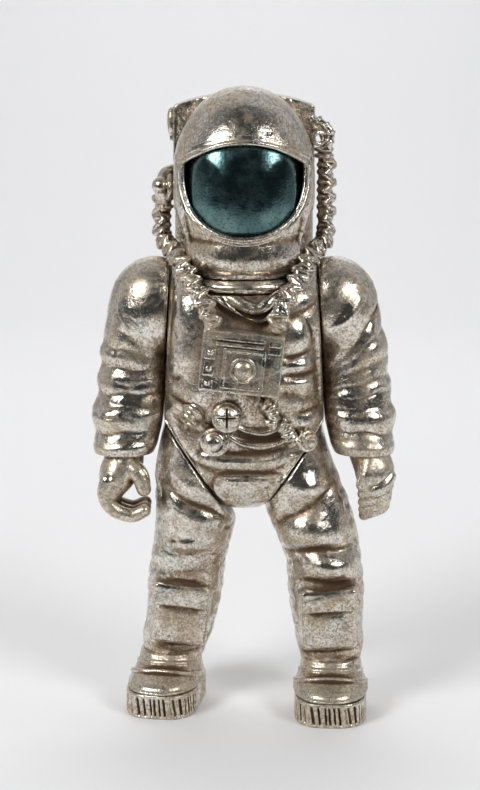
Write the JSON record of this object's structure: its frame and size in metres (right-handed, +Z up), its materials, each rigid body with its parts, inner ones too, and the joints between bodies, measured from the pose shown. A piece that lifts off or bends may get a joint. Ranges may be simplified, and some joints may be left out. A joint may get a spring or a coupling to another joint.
{
  "type": "articulated astronaut collectible figure",
  "caption": "Standing astronaut figure in a silver-leafed suit with a dark teal visor and a life-support pack; its head, arms, gloves and legs turn on pegs.",
  "frame": {"origin": "middle of the figure's bounding box, on the floor under its boots", "axes": "+Z up; the figure faces -Y and its own left side is at +X"},
  "size_m": [0.1454, 0.099, 0.2988],
  "materials": {
    "suit": "resin under antiqued silver leaf",
    "helmet": "resin under antiqued silver leaf",
    "gloves": "resin under antiqued silver leaf",
    "boots": "resin under antiqued silver leaf",
    "pack": "resin under antiqued silver leaf",
    "hoses": "resin under antiqued silver leaf",
    "fittings": "resin under antiqued silver leaf",
    "visor": "teal lacquer, glossy",
    "pegs": "moulded nylon",
    "screws": "plain steel"
  },
  "bodies": {
    "trunk": {"torso_front_shell": "suit", "torso_back_shell": "suit", "torso_screw_upper_left": "screws", "torso_screw_upper_right": "screws", "torso_screw_lower_left": "screws", "torso_screw_lower_right": "screws", "neck_ring": "suit", "neck_post": "pegs", "neck_washer": "screws", "neck_screw": "screws", "pack_tray": "pack", "pack_cover": "pack", "pack_screw_upper": "screws", "pack_screw_lower": "screws", "oxygen_unit": "pack", "pack_latch": "fittings", "chest_box": "fittings", "chest_box_panel": "fittings", "chest_box_dial": "fittings", "chest_box_bar": "fittings", "chest_box_block": "fittings", "chest_box_switch_1": "fittings", "chest_box_switch_2": "fittings", "chest_box_switch_3": "fittings", "chest_hose_left": "hoses", "hose_elbow_left": "fittings", "chest_hose_right": "hoses", "hose_elbow_right": "fittings", "waist_hose": "hoses", "connector_upper": "fittings", "connector_lower": "fittings", "connector_side": "fittings", "connector_waist": "fittings"},
    "head": {"helmet_shell": "helmet", "visor": "visor", "visor_bezel": "helmet"},
    "arm_left": {"arm_sleeve_left": "suit", "shoulder_peg_left": "pegs"},
    "arm_right": {"arm_sleeve_right": "suit", "shoulder_peg_right": "pegs"},
    "hand_left": {"glove_left": "gloves", "wrist_peg_left": "pegs"},
    "hand_right": {"glove_right": "gloves", "wrist_peg_right": "pegs"},
    "leg_left": {"trouser_leg_left": "suit", "shin_pocket_left": "suit", "hip_peg_left": "pegs", "boot_sole_left": "boots", "boot_upper_left": "boots"},
    "leg_right": {"trouser_leg_right": "suit", "shin_pocket_right": "suit", "hip_peg_right": "pegs", "boot_sole_right": "boots", "boot_upper_right": "boots"}
  },
  "joints": [
    {"name": "neck_turn", "type": "hinge", "parent": "trunk", "child": "head", "pos_m": [0, -0.0058, 0.206], "axis": [0, 0, 1], "range_deg": [-60, 60]},
    {"name": "shoulder_left_swing", "type": "hinge", "parent": "trunk", "child": "arm_left", "pos_m": [0.0355, -0.0018, 0.197], "axis": [-0.9986, 0, -0.0523], "range_deg": [-45, 120]},
    {"name": "shoulder_right_swing", "type": "hinge", "parent": "trunk", "child": "arm_right", "pos_m": [-0.0355, -0.0018, 0.197], "axis": [-0.9986, 0, 0.0523], "range_deg": [-45, 120]},
    {"name": "wrist_left_turn", "type": "hinge", "parent": "arm_left", "child": "hand_left", "pos_m": [0.0573, -0.00788, 0.128], "axis": [0, -0.1736, -0.9848], "range_deg": [-30, 30]},
    {"name": "wrist_right_turn", "type": "hinge", "parent": "arm_right", "child": "hand_right", "pos_m": [-0.0573, -0.00788, 0.128], "axis": [0, -0.1736, -0.9848], "range_deg": [-30, 30]},
    {"name": "hip_left_swing", "type": "hinge", "parent": "trunk", "child": "leg_left", "pos_m": [0.024, -0.0018, 0.123], "axis": [-0.8251, 0, 0.565], "range_deg": [-30, 25]},
    {"name": "hip_right_swing", "type": "hinge", "parent": "trunk", "child": "leg_right", "pos_m": [-0.024, -0.0018, 0.123], "axis": [-0.8251, 0, -0.565], "range_deg": [-30, 25]}
  ]
}
